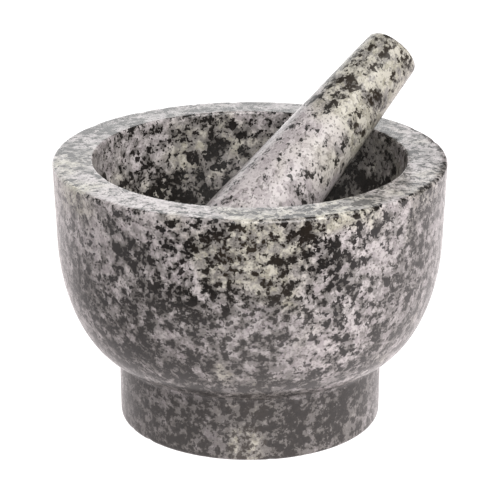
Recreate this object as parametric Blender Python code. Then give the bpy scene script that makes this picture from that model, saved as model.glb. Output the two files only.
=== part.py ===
"""A granite mortar with a pedestal foot, and its pestle leaning in the bowl.

The mortar is one turned block of stone: foot, rounded belly, flat rim and ground hollow.
The pestle is a second turned stone: a round head, a straight tapering shaft and a flat end.
The origin is the centre of the foot's underside, +Z is up, and the pestle leans towards +X.
"""

from math import acos, atan2, cos, hypot, pi, radians, sin

import bmesh
import bpy
from mathutils import Vector

# Mortar, in metres
RIM_RADIUS = 0.100
HEIGHT = 0.1387
LIP_ROUNDING = 0.0018
MOUTH_RADIUS = 0.0795
MOUTH_ROUNDING = 0.0015
BOWL_DEPTH = 0.095
WALL_FOOT_RADIUS = 0.0987  # the wall narrows from the rim down to here
WALL_FOOT_HEIGHT = 0.1024
BELLY_REACH = 0.0372  # the belly is a quarter ellipse: how far in it curves, and how far down
BELLY_DROP = 0.0691
FOOT_RADIUS = 0.0680  # where the foot meets the belly
FOOT_BASE_RADIUS = 0.0677
FOOT_FILLET = 0.0045
FOOT_ROUNDING = 0.0024

# Pestle, in metres
HEAD_RADIUS = 0.02633
REACH = 0.1605  # from the head's centre to the flat end
END_RADIUS = 0.01488
END_ROUNDING = 0.0035
LEAN = radians(53.3)  # from upright
RESTING_GAP = 0.0004  # left between the pestle and the two places where it touches the bowl

# Smoothness of the turned surfaces
MORTAR_SEGMENTS = 96
PESTLE_SEGMENTS = 60
MERGE_DISTANCE = 0.000001
SMOOTH_ANGLE = radians(40)

# Colour, roughness and metallic value of the two stones
MORTAR_STONE = ((0.36, 0.34, 0.33, 1), 0.22, 0)
PESTLE_STONE = ((0.52, 0.50, 0.46, 1), 0.20, 0)


def clear_scene():
    for obj in list(bpy.data.objects):
        bpy.data.objects.remove(obj)


def bisect(function, low, high):
    """The root of a function that changes sign between low and high."""
    rising = function(high) > 0
    for _ in range(60):
        middle = (low + high) / 2
        if (function(middle) > 0) == rising:
            high = middle
        else:
            low = middle
    return (low + high) / 2


def arc(centre, radii, start, end, steps):
    """Points on an ellipse about centre in the (radius, height) plane, angles in radians."""
    angles = [start + (end - start) * step / steps for step in range(steps + 1)]
    return [
        (centre[0] + radii[0] * cos(angle), centre[1] + radii[1] * sin(angle))
        for angle in angles
    ]


def round_corner(centre, radius, start, end, steps):
    return arc(centre, (radius, radius), start, end, steps)


def belly_to_foot():
    """The angle on the belly's ellipse, and the fillet's centre, where a fillet joins belly and foot."""
    centre_radius = WALL_FOOT_RADIUS - BELLY_REACH
    fillet_radius_out = FOOT_RADIUS + FOOT_FILLET

    def offset_point(angle):
        across = cos(angle) / BELLY_REACH
        down = sin(angle) / BELLY_DROP
        length = hypot(across, down)
        return (
            centre_radius + BELLY_REACH * cos(angle) + FOOT_FILLET * across / length,
            WALL_FOOT_HEIGHT + BELLY_DROP * sin(angle) + FOOT_FILLET * down / length,
        )

    angle = bisect(lambda a: offset_point(a)[0] - fillet_radius_out, -pi / 2, 0)
    return angle, offset_point(angle)


def mortar_profile():
    """From the underside's edge up the outside, over the rim and down the hollow to the axis."""
    belly_angle, fillet_centre = belly_to_foot()
    belly_centre = (WALL_FOOT_RADIUS - BELLY_REACH, WALL_FOOT_HEIGHT)
    belly_end = arc(belly_centre, (BELLY_REACH, BELLY_DROP), belly_angle, belly_angle, 1)[0]
    fillet_end = atan2(belly_end[1] - fillet_centre[1], belly_end[0] - fillet_centre[0])
    hollow_centre = (0, HEIGHT - MOUTH_ROUNDING)
    hollow_radii = (MOUTH_RADIUS, BOWL_DEPTH - MOUTH_ROUNDING)
    foot_corner = (FOOT_BASE_RADIUS - FOOT_ROUNDING, FOOT_ROUNDING)
    lip_corner = (RIM_RADIUS - LIP_ROUNDING, HEIGHT - LIP_ROUNDING)
    mouth_corner = (MOUTH_RADIUS + MOUTH_ROUNDING, HEIGHT - MOUTH_ROUNDING)
    return (
        round_corner(foot_corner, FOOT_ROUNDING, -pi / 2, 0, 3)
        + round_corner(fillet_centre, FOOT_FILLET, pi, fillet_end, 3)
        + arc(belly_centre, (BELLY_REACH, BELLY_DROP), belly_angle, 0, 12)[1:]
        + round_corner(lip_corner, LIP_ROUNDING, 0, pi / 2, 3)
        + round_corner(mouth_corner, MOUTH_ROUNDING, pi / 2, pi, 3)
        + arc(hollow_centre, hollow_radii, 0, -pi / 2, 19)[1:]
    )


def pestle_taper():
    """The shaft's angle to its axis, so that it leaves the round head without a corner."""
    return atan2(REACH, END_RADIUS) - acos(HEAD_RADIUS / hypot(END_RADIUS, REACH))


def pestle_profile():
    """From the head's lowest point up the shaft to the edge of the flat end."""
    taper = pestle_taper()
    shaft_drop = END_ROUNDING * (1 - sin(taper))
    end_corner = (
        END_RADIUS + shaft_drop * sin(taper) / cos(taper) - END_ROUNDING * cos(taper),
        REACH - END_ROUNDING,
    )
    return (
        round_corner((0, 0), HEAD_RADIUS, -pi / 2, taper, 12)
        + round_corner(end_corner, END_ROUNDING, taper, pi / 2, 4)
    )


def resting_place():
    """Where the head's centre lies, in the XZ plane, with the shaft at the mouth's edge.

    The shaft's underside passes the mouth's rounded edge at the resting gap, which sets how
    far the head's centre lies from that line. The head's place along the line is where it
    meets the hollow, on the side away from the lean, at the same gap.
    """
    steepness = LEAN - pestle_taper()
    away = (cos(steepness), -sin(steepness))
    edge = (MOUTH_RADIUS + MOUTH_ROUNDING, HEIGHT - MOUTH_ROUNDING)
    clear_of_edge = HEAD_RADIUS + MOUTH_ROUNDING + RESTING_GAP
    centre_line = edge[0] * away[0] + edge[1] * away[1] - clear_of_edge
    radii = (MOUTH_RADIUS, BOWL_DEPTH - MOUTH_ROUNDING)

    def touching_centre(angle):
        inwards = (cos(angle) / radii[0], sin(angle) / radii[1])
        reach = (HEAD_RADIUS + RESTING_GAP) / hypot(*inwards)
        return (
            -radii[0] * cos(angle) + reach * inwards[0],
            HEIGHT - MOUTH_ROUNDING - radii[1] * sin(angle) + reach * inwards[1],
        )

    def off_line(angle):
        x, z = touching_centre(angle)
        return x * away[0] + z * away[1] - centre_line

    return touching_centre(bisect(off_line, radians(5), pi / 2))


def stone_material(name, stone):
    colour, roughness, metallic = stone
    material = bpy.data.materials.new(name)
    material.use_nodes = True
    shader = material.node_tree.nodes["Principled BSDF"]
    shader.inputs["Base Color"].default_value = colour
    shader.inputs["Roughness"].default_value = roughness
    shader.inputs["Metallic"].default_value = metallic
    material.diffuse_color = colour
    return material


def turned(name, profile, segments, material):
    """A closed turned solid: the profile spun about Z, with its open end filled by a flat face."""
    form = bmesh.new()
    outline = [form.verts.new((radius, 0, height)) for radius, height in profile]
    edges = [form.edges.new(pair) for pair in zip(outline, outline[1:])]
    bmesh.ops.spin(
        form,
        geom=outline + edges,
        cent=(0, 0, 0),
        axis=(0, 0, 1),
        angle=2 * pi,
        steps=segments,
        use_merge=True,
    )
    bmesh.ops.remove_doubles(form, verts=form.verts, dist=MERGE_DISTANCE)
    open_ring = [edge for edge in form.edges if edge.is_boundary]
    bmesh.ops.edgeloop_fill(form, edges=open_ring)
    bmesh.ops.recalc_face_normals(form, faces=form.faces)
    mesh = bpy.data.meshes.new(name)
    form.to_mesh(mesh)
    form.free()
    mesh.shade_smooth()
    mesh.set_sharp_from_angle(angle=SMOOTH_ANGLE)
    mesh.materials.append(material)
    obj = bpy.data.objects.new(name, mesh)
    bpy.context.scene.collection.objects.link(obj)
    return obj


def make_mortar():
    stone = stone_material("mortar_granite", MORTAR_STONE)
    return turned("mortar", mortar_profile(), MORTAR_SEGMENTS, stone)


def make_pestle():
    """The pestle's own origin is the head's centre, and its own +Z runs up the shaft."""
    stone = stone_material("pestle_granite", PESTLE_STONE)
    pestle = turned("pestle", pestle_profile(), PESTLE_SEGMENTS, stone)
    x, z = resting_place()
    pestle.location = Vector((x, 0, z))
    pestle.rotation_euler = (0, LEAN, 0)
    return pestle


clear_scene()
make_mortar()
make_pestle()
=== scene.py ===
"""The looks of the granite mortar and pestle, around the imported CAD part.

Both stones are rebuilt as fine turned surfaces on the CAD solids' own sizes, with the slight
unevenness of ground and polished stone, and get one solid granite that runs through them.
"""

import random
from math import acos, atan2, cos, hypot, pi, radians, sin

import bpy
import numpy as np
from mathutils import Euler, Matrix, Vector, noise


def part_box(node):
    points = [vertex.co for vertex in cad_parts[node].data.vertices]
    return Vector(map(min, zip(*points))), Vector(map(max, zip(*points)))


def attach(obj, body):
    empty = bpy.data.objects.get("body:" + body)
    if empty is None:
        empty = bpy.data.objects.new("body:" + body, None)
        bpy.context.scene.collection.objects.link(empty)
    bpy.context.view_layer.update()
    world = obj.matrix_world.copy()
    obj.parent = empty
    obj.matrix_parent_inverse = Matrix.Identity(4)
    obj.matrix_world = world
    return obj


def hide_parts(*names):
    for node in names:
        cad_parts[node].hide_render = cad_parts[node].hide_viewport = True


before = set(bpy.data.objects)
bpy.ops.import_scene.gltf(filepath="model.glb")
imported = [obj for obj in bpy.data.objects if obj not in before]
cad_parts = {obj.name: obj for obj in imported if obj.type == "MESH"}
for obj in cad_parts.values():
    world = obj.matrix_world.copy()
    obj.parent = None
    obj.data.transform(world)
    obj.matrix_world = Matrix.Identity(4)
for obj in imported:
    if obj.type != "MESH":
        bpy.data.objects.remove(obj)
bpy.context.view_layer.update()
_, mortar_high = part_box("mortar")
pestle_low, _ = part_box("pestle")

# ---------------------------------------------------------------- sizes, in metres

# Mortar
RIM_RADIUS = mortar_high.x
HEIGHT = mortar_high.z
LIP_ROUNDING = 0.0018
MOUTH_RADIUS = 0.0795
MOUTH_ROUNDING = 0.0015
BOWL_DEPTH = 0.095
WALL_FOOT_RADIUS = 0.0987
WALL_FOOT_HEIGHT = 0.1024
BELLY_REACH = 0.0372
BELLY_DROP = 0.0691
FOOT_RADIUS = 0.0680
FOOT_BASE_RADIUS = 0.0677
FOOT_FILLET = 0.0045
FOOT_ROUNDING = 0.0024

# Pestle
HEAD_RADIUS = 0.02633
REACH = 0.1605  # from the head's centre to the flat end
END_RADIUS = 0.01488
END_ROUNDING = 0.0035
LEAN = radians(53.3)  # from upright

MORTAR_SEGMENTS = 400
PESTLE_SEGMENTS = 140

# Ground stone: how far below the rim the hollow is fully ground, and the heights above the
# head's centre where the pestle's grinding starts and is full
HOLLOW_GRINDING = 0.02
HEAD_GRINDING = (0.012, -0.004)

# Wear: the size and depth of the surface's unevenness, and the reach and depth of its nicks
SWELL_SIZE = 0.022
SWELL_DEPTH = 0.00008
NICK_REACH = (0.0022, 0.0042)
NICK_DEPTH = (0.0001, 0.0004)

# Camera
VIEW_AZIMUTH = radians(-40.97)
CAMERA_DISTANCE = 1.0982
CAMERA_HEIGHT = 0.4855
CAMERA_PITCH = radians(19.895)
LENS = 163.4  # in millimetres
SENSOR_WIDTH = 36  # in millimetres

# ---------------------------------------------------------------- turned forms


def arc(centre, radii, start, end, steps):
    """Points on an ellipse about centre in the (radius, height) plane, angles in radians."""
    angles = np.linspace(start, end, steps + 1)
    return [
        (centre[0] + radii[0] * cos(angle), centre[1] + radii[1] * sin(angle))
        for angle in angles
    ]


def round_corner(centre, radius, start, end, steps):
    return arc(centre, (radius, radius), start, end, steps)


def line(start, end, steps):
    """Points between start and end, leaving out both."""
    shares = np.linspace(0, 1, steps + 1)[1:-1]
    return [
        (start[0] + (end[0] - start[0]) * share, start[1] + (end[1] - start[1]) * share)
        for share in shares
    ]


def bisect(function, low, high):
    """The root of a function that changes sign between low and high."""
    rising = function(high) > 0
    for _ in range(60):
        middle = (low + high) / 2
        if (function(middle) > 0) == rising:
            high = middle
        else:
            low = middle
    return (low + high) / 2


def belly_to_foot():
    """The angle on the belly's ellipse, and the fillet's centre, where a fillet joins belly and foot."""
    centre_radius = WALL_FOOT_RADIUS - BELLY_REACH

    def offset_point(angle):
        across = cos(angle) / BELLY_REACH
        down = sin(angle) / BELLY_DROP
        length = hypot(across, down)
        return (
            centre_radius + BELLY_REACH * cos(angle) + FOOT_FILLET * across / length,
            WALL_FOOT_HEIGHT + BELLY_DROP * sin(angle) + FOOT_FILLET * down / length,
        )

    angle = bisect(lambda a: offset_point(a)[0] - FOOT_RADIUS - FOOT_FILLET, -pi / 2, 0)
    return angle, offset_point(angle)


def mortar_profile():
    """(radius, height) from the underside's centre up the outside and down the hollow to the axis."""
    belly_angle, fillet = belly_to_foot()
    belly_centre = (WALL_FOOT_RADIUS - BELLY_REACH, WALL_FOOT_HEIGHT)
    belly = arc(belly_centre, (BELLY_REACH, BELLY_DROP), belly_angle, 0, 38)
    fillet_end = atan2(belly[0][1] - fillet[1], belly[0][0] - fillet[0])
    foot_corner = (FOOT_BASE_RADIUS - FOOT_ROUNDING, FOOT_ROUNDING)
    foot = round_corner(foot_corner, FOOT_ROUNDING, -pi / 2, 0, 7)
    crease = round_corner(fillet, FOOT_FILLET, pi, fillet_end, 9)
    lip_corner = (RIM_RADIUS - LIP_ROUNDING, HEIGHT - LIP_ROUNDING)
    lip = round_corner(lip_corner, LIP_ROUNDING, 0, pi / 2, 7)
    mouth_corner = (MOUTH_RADIUS + MOUTH_ROUNDING, HEIGHT - MOUTH_ROUNDING)
    mouth = round_corner(mouth_corner, MOUTH_ROUNDING, pi / 2, pi, 6)
    hollow_radii = (MOUTH_RADIUS, BOWL_DEPTH - MOUTH_ROUNDING)
    hollow = arc((0, HEIGHT - MOUTH_ROUNDING), hollow_radii, 0, -pi / 2, 66)
    return (
        line((0, 0), foot[0], 10)
        + foot
        + line(foot[-1], crease[0], 12)
        + crease
        + belly[1:]
        + line(belly[-1], lip[0], 22)
        + lip
        + line(lip[-1], mouth[0], 12)
        + mouth
        + hollow[1:-1]
    )


def pestle_profile():
    """(radius, height) from the head's lowest point up the shaft to the flat end's centre."""
    taper = atan2(REACH, END_RADIUS) - acos(HEAD_RADIUS / hypot(END_RADIUS, REACH))
    drop = END_ROUNDING * (1 - sin(taper))
    corner_radius = END_RADIUS + drop * sin(taper) / cos(taper) - END_ROUNDING * cos(taper)
    corner = (corner_radius, REACH - END_ROUNDING)
    head = round_corner((0, 0), HEAD_RADIUS, -pi / 2, taper, 40)
    end = round_corner(corner, END_ROUNDING, taper, pi / 2, 9)
    return head[1:] + line(head[-1], end[0], 120) + end + line(end[-1], (0, REACH), 8)


def turned(name, profile, segments, ends, ground, placed=Matrix.Identity(4)):
    """The profile spun about Z into a closed mesh, with a fan to a point on the axis at each end.

    ends are the heights of those two points. ground gives, for a (radius, height), how far the
    surface there is ground instead of polished. placed moves the finished mesh.
    """
    turns = np.linspace(0, 2 * pi, segments, endpoint=False)
    rings = [[(r * cos(t), r * sin(t), z) for t in turns] for r, z in profile]
    points = [point for ring in rings for point in ring] + [(0, 0, z) for z in ends]
    first, last = len(points) - 2, len(points) - 1
    top = (len(profile) - 1) * segments
    faces = []
    for i in range(segments):
        j = (i + 1) % segments
        faces.append((first, j, i))
        faces.append((top + i, top + j, last))
        for ring in range(0, top, segments):
            faces.append((ring + i, ring + j, ring + segments + j, ring + segments + i))
    mesh = bpy.data.meshes.new(name)
    mesh.from_pydata(points, [], faces)
    worn = mesh.attributes.new("ground", "FLOAT", "POINT")
    worn.data.foreach_set("value", [ground(hypot(x, y), z) for x, y, z in points])
    mesh.transform(placed)
    mesh.shade_smooth()
    obj = bpy.data.objects.new(name, mesh)
    bpy.context.scene.collection.objects.link(obj)
    return obj


def nicks_along(radius, height, count, seed, placed=Matrix.Identity(4)):
    """Small bites out of a turned edge: a place, a reach and a depth for each. placed moves them."""
    chance = random.Random(seed)
    nicks = []
    for _ in range(count):
        turn = chance.uniform(0, 2 * pi)
        place = placed @ Vector((radius * cos(turn), radius * sin(turn), height))
        nicks.append((place, chance.uniform(*NICK_REACH), chance.uniform(*NICK_DEPTH)))
    return nicks


def wear(obj, nicks):
    """Press the surface inwards, never outwards: gently uneven all over, and nicked along its edges."""
    mesh = obj.data
    places = np.array([vertex.co for vertex in mesh.vertices])
    normals = np.array([vertex.normal for vertex in mesh.vertices])
    swell = np.array([noise.noise(vertex.co / SWELL_SIZE) for vertex in mesh.vertices])
    depth = SWELL_DEPTH * np.clip(0.5 + swell, 0, 1)
    for place, reach, bite in nicks:
        nearness = 1 - (np.linalg.norm(places - np.array(place), axis=1) / reach) ** 2
        depth += bite * np.clip(nearness, 0, 1) ** 2
    places -= normals * depth[:, None]
    mesh.vertices.foreach_set("co", places.ravel())
    mesh.update()


def pestle_place():
    """The pestle's own frame: its head fits the corner of the CAD pestle's box, and it leans to +X."""
    head_centre = Vector((pestle_low.x + HEAD_RADIUS, 0, pestle_low.z + HEAD_RADIUS))
    return Matrix.Translation(head_centre) @ Euler((0, LEAN, 0)).to_matrix().to_4x4()


def ramp(value, low, high):
    """How far value is from low to high, from 0 to 1."""
    return min(max((value - low) / (high - low), 0.0), 1.0)


def mortar_ground(radius, height):
    """The hollow is ground by use, and the underside is sawn."""
    inside = radius < MOUTH_RADIUS + MOUTH_ROUNDING and height > HEIGHT - BOWL_DEPTH - 0.001
    hollow = ramp(height, HEIGHT, HEIGHT - HOLLOW_GRINDING) if inside else 0.0
    underside = 1.0 if height < 0.0002 else 0.0
    return max(hollow, underside)


def pestle_ground(radius, height):
    """The head is ground by use."""
    return ramp(height, *HEAD_GRINDING)


mortar = turned(
    "mortar_stone", mortar_profile(), MORTAR_SEGMENTS, (0, HEIGHT - BOWL_DEPTH), mortar_ground
)
pestle = turned(
    "pestle_stone",
    pestle_profile(),
    PESTLE_SEGMENTS,
    (-HEAD_RADIUS, REACH),
    pestle_ground,
    pestle_place(),
)
wear(
    mortar,
    nicks_along(RIM_RADIUS, HEIGHT, 26, 3)
    + nicks_along(MOUTH_RADIUS, HEIGHT, 16, 5)
    + nicks_along(FOOT_BASE_RADIUS, 0, 14, 8),
)
wear(pestle, nicks_along(END_RADIUS, REACH, 7, 2, pestle_place()))

# ---------------------------------------------------------------- granite

# Grain sizes in metres. Crystals and dots are a grain's size and the size of its clusters.
GRAIN_EDGE = 0.0016
GRAIN_WOBBLE = 0.0007
SPECKLE = 0.0010
SPECK = 0.0014
MICA_FLAKE = 0.0011
FELDSPAR = 0.0028
FELDSPAR_BEND = (0.003, 0.002)
QUARTZ = 0.0055
FINE_CRYSTALS = (0.0017, 0.0036)
COARSE_CRYSTALS = (0.0026, 0.0062)
BLACK_DOTS = (0.0008, 0.0019)
PIT = 0.0011
SCRATCH = 0.0006
RELIEF = 0.00012

# Slow drifts through the block: their sizes in metres, and how far the darker one goes
DARK_DRIFT_SIZE = 0.026
DARK_DRIFT = 0.30
WARM_DRIFT_SIZE = 0.035
ZONE_CORE = 0.3  # the share of a zone's reach where it works in full
GROUND_CREAM = 0.16  # how much creamier ground stone is

# Steps from none to full, as values of the fields that they cut
HAZE_STEP = (0.445, 0.595)
DEEP_STEP = (0.55, 0.66)
CRYSTAL_STEP = (0.566, 0.580)
DOT_STEP = (0.560, 0.575)
QUARTZ_STEP = (0.56, 0.68)
LIGHT_STEP = (0.30, 0.62)
CREAM_STEP = (0.48, 0.68)
BROWN_STEP = (0.55, 0.80)
SPECK_STEP = (0.57, 0.66)
PIT_STEP = (0.66, 0.74)
PALE_STEP = (0.66, 0.92)
BLACK_COVER = (0.76, 0.97)  # how fully black covers the dullest stone, and the palest

# How much of the stone below each mineral hides where it is full
QUARTZ_SHARE = 0.80
SPECK_SHARE = 0.75
DEEP_SHARE = 0.70

# Tones of the minerals, from their dark to their light end
COOL_FELDSPAR = ((0.475, 0.428, 0.440, 1), (0.715, 0.666, 0.668, 1))
WARM_FELDSPAR = ((0.46, 0.435, 0.355, 1), (0.71, 0.680, 0.595, 1))
GREY_QUARTZ = ((0.20, 0.187, 0.182, 1), (0.40, 0.378, 0.370, 1))
SMOKY_HAZE = ((0.09, 0.083, 0.077, 1), (0.25, 0.235, 0.222, 1))
DEEP_HAZE = ((0.018, 0.016, 0.014, 1), (0.085, 0.078, 0.070, 1))
BLACK_MICA = ((0.002, 0.002, 0.002, 1), (0.014, 0.011, 0.009, 1))
BROWN_MICA = (0.022, 0.015, 0.009, 1)


class Shader:
    """A material whose nodes are added one call at a time. Each call returns an output socket."""

    def __init__(self, name):
        self.material = bpy.data.materials.new(name)
        self.material.use_nodes = True
        self.tree = self.material.node_tree
        self.surface = self.tree.nodes["Principled BSDF"]

    def put(self, kind, inputs, output=0, **settings):
        made = self.tree.nodes.new(kind)
        for key, value in settings.items():
            setattr(made, key, value)
        for key, value in inputs.items():
            self.feed(made.inputs[key], value)
        return made.outputs[output]

    def feed(self, socket, value):
        if isinstance(value, bpy.types.NodeSocket):
            self.tree.links.new(value, socket)
        else:
            socket.default_value = value

    def math(self, operation, a, b):
        return self.put("ShaderNodeMath", {0: a, 1: b}, operation=operation)

    def add(self, a, b):
        return self.math("ADD", a, b)

    def times(self, a, b):
        return self.math("MULTIPLY", a, b)

    def weighed(self, a, weight_a, b, weight_b):
        return self.add(self.times(a, weight_a), self.times(b, weight_b))

    def between(self, value, low, high, to_low=0.0, to_high=1.0, smooth=True):
        """to_low where value is at low or beyond, to_high where it is at high, and a step between."""
        kind = "SMOOTHSTEP" if smooth else "LINEAR"
        return self.put(
            "ShaderNodeMapRange",
            {"Value": value, "From Min": low, "From Max": high, "To Min": to_low, "To Max": to_high},
            interpolation_type=kind,
        )

    def noise(self, where, size, detail=2.0, roughness=0.5, output="Fac"):
        return self.put(
            "ShaderNodeTexNoise",
            {"Vector": where, "Scale": 1 / size, "Detail": detail, "Roughness": roughness},
            output=output,
        )

    def cells(self, where, size, output):
        return self.put(
            "ShaderNodeTexVoronoi", {"Vector": where, "Scale": 1 / size}, output=output, feature="F1"
        )

    def clusters(self, where, grain, cluster):
        """A noise of the cluster's size, with one value for each whole grain."""
        return self.noise(self.cells(where, grain, "Position"), cluster, 1.0, 0.5)

    def vectors(self, operation, a, b, output="Vector"):
        return self.put("ShaderNodeVectorMath", {0: a, 1: b}, output=output, operation=operation)

    def scaled(self, vector, amount):
        return self.put("ShaderNodeVectorMath", {0: vector, "Scale": amount}, operation="SCALE")

    def distance(self, where, place):
        return self.vectors("DISTANCE", where, place, "Value")

    def shift(self, where, by):
        """where, moved to an unrelated part of the noise."""
        return self.vectors("ADD", where, by)

    def warp(self, where, size, amount, detail=2.0):
        """where, moved by up to about amount, so that what is drawn there has irregular edges."""
        offset = self.vectors("SUBTRACT", self.noise(where, size, detail, 0.6, "Color"), (0.5,) * 3)
        return self.vectors("ADD", where, self.scaled(offset, amount))

    def mix(self, share, a, b):
        return self.put("ShaderNodeMix", {0: share, 6: a, 7: b}, output=2, data_type="RGBA")

    def mix_values(self, share, a, b):
        return self.put("ShaderNodeMix", {0: share, 2: a, 3: b}, data_type="FLOAT")

    def channel(self, colour, index):
        return self.put("ShaderNodeSeparateColor", {0: colour}, output=index)


def drifting_tone(g, spot, here, dark, pale, tone_and_light_zones):
    """How dark, warm and pale the stone is: slow drifts all through it, and the zones of tone and
    painted light, some of which paint shade on the mortar and a highlight down the pestle.
    """
    drift = g.noise(g.shift(here, (0.4, 0.1, 0.7)), DARK_DRIFT_SIZE, 1)
    darker = g.times(g.math("SUBTRACT", drift, 0.5), DARK_DRIFT)
    warmer = g.noise(here, WARM_DRIFT_SIZE, 2, 0.5)
    # a zone's darkness and dullness carry the stone's own patches and also the painted shade and painted
    # highlight
    for centre, reach, darkness_and_painted_light, warmth, dullness_and_painted_shade in tone_and_light_zones:
        share = g.between(g.distance(spot, centre), reach, ZONE_CORE * reach)
        darker = g.add(darker, g.times(share, darkness_and_painted_light))
        warmer = g.add(warmer, g.times(share, warmth))
        pale = g.math("SUBTRACT", pale, g.times(share, dullness_and_painted_shade))
    return g.add(darker, dark), warmer, pale


def black_crystals(g, ragged, haze_field, ground):
    """Where the black grains are: gathered in the haze, coarser where ground, with small dots."""
    fine = g.clusters(ragged, *FINE_CRYSTALS)
    coarse = g.clusters(ragged, *COARSE_CRYSTALS)
    grains = g.mix_values(ground, fine, coarse)
    black = g.between(g.weighed(haze_field, 0.42, grains, 0.58), *CRYSTAL_STEP)
    dots = g.weighed(haze_field, 0.55, g.clusters(ragged, *BLACK_DOTS), 0.45)
    return g.math("MAXIMUM", black, g.between(dots, *DOT_STEP))


def pale_minerals(g, here, ragged, speckle, darker, creamy, grey_share):
    """Feldspar from cool to cream, with soft patches of grey quartz."""
    quartz_field = g.noise(g.shift(ragged, (0.31, 0.17, 0.05)), QUARTZ, 4, 0.66)
    quartz_low, quartz_high = (step - grey_share for step in QUARTZ_STEP)
    quartz = g.between(g.add(quartz_field, darker), quartz_low, quartz_high)
    grain = g.channel(g.cells(g.warp(here, *FELDSPAR_BEND), FELDSPAR, "Color"), 1)
    light = g.between(g.weighed(grain, 0.4, speckle, 0.6), *LIGHT_STEP)
    cool = g.mix(light, *COOL_FELDSPAR)
    warm = g.mix(light, *WARM_FELDSPAR)
    feldspar = g.mix(g.between(creamy, *CREAM_STEP), cool, warm)
    return g.mix(g.times(quartz, QUARTZ_SHARE), feldspar, g.mix(speckle, *GREY_QUARTZ))


def fine_relief(g, here, black, ground):
    """Pits, crystals a hair below the polish, and scratches, strongest where the stone is ground."""
    pits = g.between(g.noise(g.shift(here, (0.6, 0.3, 0.8)), PIT, 1, 0.5), *PIT_STEP, 0.0, -1.0)
    scratches = g.times(g.noise(here, SCRATCH, 3, 0.7), g.between(ground, 0, 1, 0.10, 0.9))
    relief = g.add(g.add(pits, g.times(black, -0.35)), scratches)
    return g.put("ShaderNodeBump", {"Height": relief, "Distance": RELIEF, "Strength": 0.35})


def granite(name, dark, grey_share, cloud, pale, gloss, shine, grain_frame, tone_and_light_zones):
    """Solid granite: pale feldspar, soft grey quartz, dark haze below the surface, black crystals.

    dark and grey_share are how much of the stone those minerals take, cloud is how strong the haze
    is, pale how light the feldspar is, gloss the polish's roughness and shine its specular level.
    grain_frame is the grains' turn and stretch. Each zone is a centre, a reach, and how much darker,
    warmer and duller the stone is there; some zones paint shade on the mortar and a highlight down the
    pestle instead of the stone's own tone.
    """
    g = Shader(name)
    spot = g.put("ShaderNodeTexCoord", {}, output="Object")
    turn, stretch = grain_frame
    here = g.put("ShaderNodeMapping", {"Vector": spot, "Rotation": turn, "Scale": stretch})
    ground = g.put("ShaderNodeAttribute", {}, output="Fac", attribute_name="ground")
    ragged = g.warp(here, GRAIN_EDGE, GRAIN_WOBBLE, 3)
    speckle = g.noise(here, SPECKLE, 2, 0.6)
    darker, warmer, pale = drifting_tone(g, spot, here, dark, pale, tone_and_light_zones)
    creamy = g.add(warmer, g.times(ground, GROUND_CREAM))

    # haze: dark minerals below the surface, in soft patches that deepen inwards
    fine_haze = g.noise(ragged, 0.0057, 3.5, 0.67)
    coarse_haze = g.noise(ragged, 0.0080, 3.5, 0.62)
    haze_field = g.add(g.mix_values(ground, fine_haze, coarse_haze), darker)
    haze = g.between(haze_field, *HAZE_STEP)
    deep = g.between(haze_field, *DEEP_STEP)
    smoky = g.mix(speckle, *SMOKY_HAZE)

    # black crystals, browner where the stone is warm
    black = black_crystals(g, ragged, haze_field, ground)
    mica = g.mix(g.channel(g.cells(ragged, MICA_FLAKE, "Color"), 2), *BLACK_MICA)
    mica = g.mix(g.between(warmer, *BROWN_STEP), mica, BROWN_MICA)
    cover = g.between(g.weighed(pale, 1.0, ground, 0.5), *PALE_STEP, *BLACK_COVER, smooth=False)

    # the stone, from its pale minerals up
    speck = g.between(g.noise(g.shift(here, (0.2, 0.5, 0.3)), SPECK, 1, 0.5), *SPECK_STEP)
    stone = pale_minerals(g, here, ragged, speckle, darker, creamy, grey_share)
    stone = g.scaled(stone, pale)
    stone = g.mix(g.times(speck, SPECK_SHARE), stone, smoky)
    stone = g.mix(g.times(haze, cloud), stone, smoky)
    stone = g.mix(g.times(deep, DEEP_SHARE), stone, g.mix(speckle, *DEEP_HAZE))
    stone = g.mix(g.times(black, cover), stone, mica)
    g.feed(g.surface.inputs["Base Color"], stone)

    polished = g.between(black, 0, 1, gloss, gloss + 0.06, smooth=False)
    g.feed(g.surface.inputs["Roughness"], g.add(polished, g.times(ground, 0.03)))
    g.surface.inputs["IOR"].default_value = 1.54
    g.surface.inputs["Specular IOR Level"].default_value = shine
    g.feed(g.surface.inputs["Normal"], fine_relief(g, here, black, ground))
    return g.material


def on_view(right, away, up):
    """A place given in the camera's side and depth directions, and its height above the table."""
    side = Vector((cos(VIEW_AZIMUTH), sin(VIEW_AZIMUTH), 0))
    depth = Vector((-sin(VIEW_AZIMUTH), cos(VIEW_AZIMUTH), 0))
    return side * right + depth * away + Vector((0, 0, up))


def on_shaft(across, side, along):
    """A place given in the pestle's own frame."""
    return pestle_place() @ Vector((across, side, along))
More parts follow.
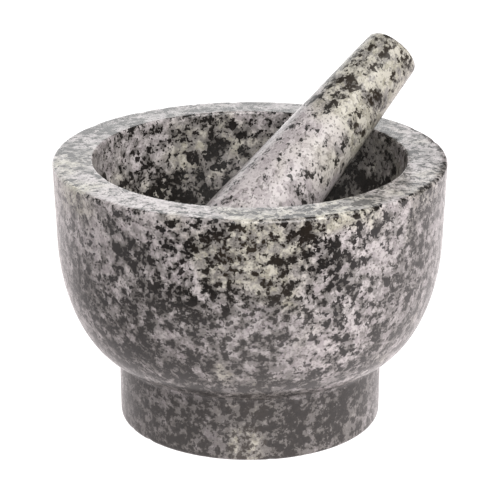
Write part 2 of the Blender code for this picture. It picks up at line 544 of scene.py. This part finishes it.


# Zones of the stone: a centre, a reach, and how much darker, warmer and duller it is there. Most are the
# stone's own patches; the ones marked below paint shade or a highlight.
MORTAR_TONE_AND_SHADE_ZONES = (
    (on_view(0.00, -0.100, 0.112), 0.045, 0.025, 0.12, 0.05),
    (on_view(-0.022, -0.097, 0.105), 0.020, 0.030, 0.0, 0.0),
    (on_view(0.040, -0.091, 0.118), 0.014, 0.030, 0.0, 0.0),
    (on_view(-0.064, -0.076, 0.118), 0.022, 0.050, 0.0, 0.0),
    # painted shade, these three: the lower front wall and belly duller and cooler, as the light falls
    # off downwards
    (on_view(-0.045, -0.085, 0.075), 0.035, 0.045, -0.1, 0.18),
    (on_view(0.005, -0.095, 0.072), 0.042, 0.012, -0.1, 0.24),
    (on_view(0.080, -0.050, 0.090), 0.062, 0.020, -0.1, 0.22),
    # partly darker stone, partly painted shade: the hollow darker towards its depth
    (on_view(0.0, 0.0, 0.085), 0.092, 0.060, 0.0, 0.05),
    (on_view(-0.060, -0.060, 0.150), 0.050, -0.070, 0.0, 0.0),
    (on_view(0.0, -0.080, 0.155), 0.035, -0.050, 0.0, 0.0),
    (on_view(-0.090, -0.040, 0.080), 0.060, 0.045, 0.0, 0.08),
    # painted shade: the foot darker and much duller, where the belly shades it
    (on_view(0.0, 0.0, 0.0), 0.125, 0.130, -0.10, 0.62),
    (on_view(-0.058, -0.060, 0.055), 0.024, 0.080, -0.10, 0.0),
    (on_view(-0.002, -0.068, 0.008), 0.016, -0.050, 0.45, -0.30),
    (on_view(-0.072, 0.025, 0.112), 0.035, 0.050, 0.0, 0.0),
    (on_view(-0.052, 0.053, 0.098), 0.024, 0.040, 0.0, 0.0),
    (on_view(-0.026, 0.066, 0.092), 0.028, 0.080, 0.0, 0.0),
    # partly darker stone, partly painted shade: the inner wall beside the pestle, in its shadow and
    # turned from the key
    (on_view(0.060, 0.047, 0.108), 0.050, 0.060, 0.0, 0.3),
    (on_view(-0.036, 0.069, 0.122), 0.034, 0.030, 0.0, 0.12),
    # painted shade: the front of the foot duller
    (on_view(0.0, -0.068, 0.020), 0.055, 0.025, 0.0, 0.12),
)
PESTLE_TONE_AND_HIGHLIGHT_ZONES = (
    (on_shaft(-0.020, -0.010, 0.064), 0.060, -0.050, -0.10, 0.02),
    (on_shaft(-0.017, 0.002, 0.106), 0.011, 0.060, 0.0, 0.0),
    (on_shaft(-0.017, -0.004, 0.122), 0.011, 0.045, 0.0, 0.0),
    (on_shaft(-0.015, -0.006, 0.140), 0.013, 0.050, 0.0, 0.0),
    (on_shaft(-0.001, -0.018, 0.126), 0.012, 0.070, 0.0, 0.0),
    (on_shaft(-0.001, -0.019, 0.105), 0.010, 0.060, 0.0, 0.0),
    (on_shaft(-0.002, -0.020, 0.087), 0.010, 0.050, 0.0, 0.0),
    (on_shaft(-0.002, -0.015, 0.147), 0.010, 0.040, 0.0, 0.0),
    # painted highlight, these three: a clear band without dark grains down the middle of the shaft,
    # where the key's soft highlight lies
    (on_shaft(-0.013, -0.014, 0.098), 0.013, -0.090, 0.0, 0.0),
    (on_shaft(-0.011, -0.014, 0.115), 0.011, -0.090, 0.0, 0.0),
    (on_shaft(-0.009, -0.014, 0.134), 0.010, -0.070, 0.0, 0.0),
    (on_shaft(-0.011, -0.005, 0.143), 0.055, 0.030, 0.16, 0.02),
)

# The grains' turn and stretch: the pestle's lie along its shaft
EVEN_GRAIN = ((0, 0, 0), (1, 1, 1))
SHAFT_GRAIN = ((0, -LEAN, 0), (1, 1, 0.72))

mortar.data.materials.append(
    granite("mortar_granite", 0.015, 0.06, 0.85, 0.94, 0.18, 0.5, EVEN_GRAIN, MORTAR_TONE_AND_SHADE_ZONES)
)
pestle.data.materials.append(
    granite("pestle_granite", -0.018, 0.05, 0.50, 0.90, 0.24, 0.30, SHAFT_GRAIN, PESTLE_TONE_AND_HIGHLIGHT_ZONES)
)

for stone, node, slot in (
    (mortar, "mortar", "mortar_granite"),
    (pestle, "pestle", "pestle_granite"),
):
    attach(stone, node)
    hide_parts(node)

# ---------------------------------------------------------------- studio

TABLE_SPREAD = 4
FLOOR_GREY = 0.30
FLOOR_GLOW = 0.96
TABLE_RADIANCE = 1.22
TABLE_TINT = (1.0, 0.93, 0.935, 1)
DIM_CENTRE = on_view(-0.24, -0.10, 0)
DIM_STEP = (0.06, 0.28)  # how far from its centre the dim patch of the table ends
FRONT_STEP = (-0.27, -0.19)  # where in front of the foot the table's light begins
KEY_TINT = (1, 0.975, 0.96)
ROOM_RADIANCE = 0.12
WHITE_RADIANCE = 1.05


def make_camera():
    """The camera, level to its sides and tipped down at the stone."""
    data = bpy.data.cameras.new("camera")
    data.lens = LENS
    data.sensor_width = SENSOR_WIDTH
    camera = bpy.data.objects.new("camera", data)
    bpy.context.scene.collection.objects.link(camera)
    camera.location = on_view(0, -CAMERA_DISTANCE, CAMERA_HEIGHT)
    camera.rotation_euler = (pi / 2 - CAMERA_PITCH, 0, VIEW_AZIMUTH)
    bpy.context.scene.camera = camera


def softbox(name, place, aim, size, radiance, tint=(1, 1, 1)):
    """A rectangular lamp of even radiance. Its power follows from its area."""
    data = bpy.data.lights.new(name, "AREA")
    data.shape = "RECTANGLE"
    data.size, data.size_y = size
    data.energy = radiance * pi * size[0] * size[1]
    data.color = tint
    light = bpy.data.objects.new(name, data)
    bpy.context.scene.collection.objects.link(light)
    light.location = place
    light.rotation_euler = (aim - place).to_track_quat("-Z", "Y").to_euler()
    light.visible_camera = False


def table_plane(name):
    """A level square around the foot, in the camera's side and depth directions."""
    signs = ((-1, -1), (1, -1), (1, 1), (-1, 1))
    corners = [on_view(x * TABLE_SPREAD, y * TABLE_SPREAD, 0) for x, y in signs]
    mesh = bpy.data.meshes.new(name)
    mesh.from_pydata(corners, [], [(0, 1, 2, 3)])
    obj = bpy.data.objects.new(name, mesh)
    bpy.context.scene.collection.objects.link(obj)
    return obj


def make_floor():
    """The white floor that the camera sees, with the stone's soft shadow."""
    floor = table_plane("floor")
    pale = Shader("floor_white")
    pale.surface.inputs["Base Color"].default_value = (FLOOR_GREY, FLOOR_GREY, FLOOR_GREY, 1)
    pale.surface.inputs["Roughness"].default_value = 1.0
    pale.surface.inputs["Specular IOR Level"].default_value = 0.0
    pale.surface.inputs["Emission Color"].default_value = (1, 1, 1, 1)
    pale.surface.inputs["Emission Strength"].default_value = FLOOR_GLOW
    floor.data.materials.append(pale.material)
    floor.visible_glossy = False
    floor.visible_diffuse = False
    floor.visible_shadow = False


def make_bounce():
    """The table's light and its mirror image in the polish: dimmer to the left and far in front."""
    table = table_plane("bounce_table")
    table.visible_camera = False
    glow = Shader("bounce_glow")
    here = glow.put("ShaderNodeTexCoord", {}, output="Object")
    side = glow.between(glow.distance(here, DIM_CENTRE), *DIM_STEP, 0.5, 1.0)
    depth = glow.vectors("DOT_PRODUCT", here, on_view(0, 1, 0), "Value")
    front = glow.between(depth, *FRONT_STEP, 0.06, 1.0)
    strength = glow.times(glow.times(side, front), TABLE_RADIANCE)
    glow.surface.inputs["Base Color"].default_value = (0, 0, 0, 1)
    glow.surface.inputs["Specular IOR Level"].default_value = 0.0
    glow.surface.inputs["Emission Color"].default_value = TABLE_TINT
    glow.feed(glow.surface.inputs["Emission Strength"], strength)
    table.data.materials.append(glow.material)


def make_world():
    """White behind the object, and a dim room for the light and the reflections."""
    world = bpy.data.worlds.new("studio")
    world.use_nodes = True
    tree = world.node_tree
    room = tree.nodes["Background"]
    room.inputs["Color"].default_value = (1, 1, 1, 1)
    room.inputs["Strength"].default_value = ROOM_RADIANCE
    white = tree.nodes.new("ShaderNodeBackground")
    white.inputs["Strength"].default_value = WHITE_RADIANCE
    seen = tree.nodes.new("ShaderNodeLightPath")
    choose = tree.nodes.new("ShaderNodeMixShader")
    tree.links.new(seen.outputs["Is Camera Ray"], choose.inputs[0])
    tree.links.new(room.outputs[0], choose.inputs[1])
    tree.links.new(white.outputs[0], choose.inputs[2])
    tree.links.new(choose.outputs[0], tree.nodes["World Output"].inputs["Surface"])
    bpy.context.scene.world = world


bowl_middle = on_view(0, 0, 0.10)
softbox("key", on_view(0.30, -0.75, 0.75), bowl_middle, (0.9, 0.9), 5.3, KEY_TINT)
softbox("overhead", on_view(0.0, 0.0, 1.20), bowl_middle, (0.7, 0.7), 0.4)
softbox("backdrop", on_view(-0.95, 0.9, 0.45), on_view(-0.70, 0, 0.25), (2.4, 0.9), 1.5)

make_camera()
make_floor()
make_bounce()
make_world()
bpy.context.scene.view_settings.view_transform = "Standard"
